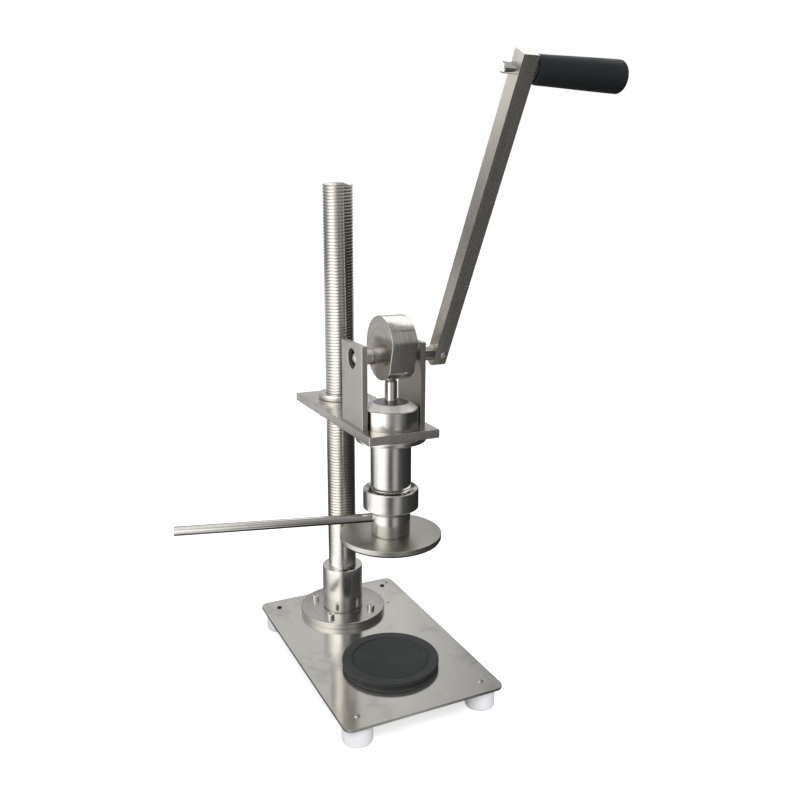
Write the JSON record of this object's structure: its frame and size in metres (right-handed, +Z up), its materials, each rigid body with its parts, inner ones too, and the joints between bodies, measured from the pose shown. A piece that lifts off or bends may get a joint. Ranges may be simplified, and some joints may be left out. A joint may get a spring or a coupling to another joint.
{
  "type": "jar capping machine",
  "caption": "Manual press that closes jar lids: a hand lever turns a cam, which pushes a sprung plunger and a rotating press disc down onto a jar on a rubber pad.",
  "frame": {"origin": "centre of the jar seat, the flat in the rubber pad's recess, on the axis of the press spindle", "axes": "+Z up along the spindle, away from the seat; +Y back to the column; +X to the lever's side"},
  "size_m": [0.3776, 0.3274, 0.6395],
  "materials": {
    "satin_steel": "satin stainless steel",
    "turned_steel": "turned stainless steel",
    "polished_steel": "polished stainless steel",
    "fastener_steel": "plain stainless steel",
    "spring_steel": "oiled spring steel",
    "bearing_steel": "ground bearing steel",
    "bronze": "plain bearing bronze",
    "black_rubber": "matt black rubber",
    "grip_plastic": "satin black plastic",
    "foot_plastic": "white plastic"
  },
  "bodies": {
    "base": {"base_plate": "satin_steel", "feet": "foot_plastic", "foot_screws": "fastener_steel", "jar_pad": "black_rubber", "column_flange": "turned_steel", "flange_screws": "fastener_steel", "column_socket": "turned_steel", "column": "turned_steel"},
    "carrier": {"head_washer": "fastener_steel"},
    "lower_nut": {"support_nut": "turned_steel"},
    "upper_nut": {"lock_nut": "turned_steel"},
    "head": {"head_plate": "satin_steel", "left_cheek": "satin_steel", "right_cheek": "satin_steel", "left_bush": "bronze", "right_bush": "bronze", "guide_boss": "turned_steel", "clamp_ring": "turned_steel", "guide_barrel": "turned_steel", "barrel_gland": "turned_steel"},
    "plunger": {"press_pin": "polished_steel", "plunger": "polished_steel", "return_spring": "spring_steel", "upper_race": "bearing_steel", "retaining_washer": "fastener_steel", "retaining_screw": "fastener_steel"},
    "cage": {"bearing_cage": "bronze", "bearing_balls": "bearing_steel"},
    "swivel_head": {"lower_race": "bearing_steel", "swivel_cup": "turned_steel", "press_disc": "turned_steel", "disc_screws": "fastener_steel", "press_liner": "black_rubber", "turning_bar": "polished_steel"},
    "lever": {"cam_axle": "turned_steel", "press_cam": "satin_steel", "cam_key": "fastener_steel", "left_collar": "turned_steel", "right_collar": "turned_steel", "lever_spacer": "turned_steel", "lever_arm": "satin_steel", "lever_screw": "fastener_steel", "grip_bolt": "polished_steel", "grip_washer": "fastener_steel"},
    "grip": {"hand_grip": "grip_plastic"}
  },
  "joints": [
    {"name": "head_height", "type": "slide", "parent": "base", "child": "carrier", "axis": [0, 0, 1], "range_m": [-0.11, 0.22]},
    {"name": "support_nut_turn", "type": "hinge", "parent": "carrier", "child": "lower_nut", "pos_m": [0, 0.1375, 0], "axis": [0, 0, 1], "continuous": true},
    {"name": "lock_nut_turn", "type": "hinge", "parent": "carrier", "child": "upper_nut", "pos_m": [0, 0.1375, 0], "axis": [0, 0, 1], "continuous": true},
    {"name": "head_swivel", "type": "hinge", "parent": "carrier", "child": "head", "pos_m": [0, 0.1375, 0], "axis": [0, 0, 1], "continuous": true},
    {"name": "lever_swing", "type": "hinge", "parent": "head", "child": "lever", "pos_m": [0, 0.018, 0.3307], "axis": [1, 0, 0], "range_deg": [0, 60]},
    {"name": "grip_spin", "type": "hinge", "parent": "lever", "child": "grip", "pos_m": [0, -0.12003, 0.59029], "axis": [1, 0, 0], "continuous": true},
    {"name": "plunger_slide", "type": "slide", "parent": "head", "child": "plunger", "axis": [0, 0, -1], "range_m": [0, 0.0235], "stiffness_N_per_m": 2600, "springref_m": -0.028, "deforming": ["return_spring"]},
    {"name": "press_head_turn", "type": "hinge", "parent": "plunger", "child": "swivel_head", "pos_m": [0, 0, 0.16], "axis": [0, 0, 1], "range_deg": [-60, 270]},
    {"name": "cage_turn", "type": "hinge", "parent": "plunger", "child": "cage", "pos_m": [0, 0, 0.18], "axis": [0, 0, 1], "range_deg": [-31, 136]}
  ],
  "couplings": [
    {"joint": "plunger_slide", "follows": "lever_swing", "m_per_rad": 0.0222},
    {"joint": "cage_turn", "follows": "press_head_turn", "ratio": 0.5}
  ]
}
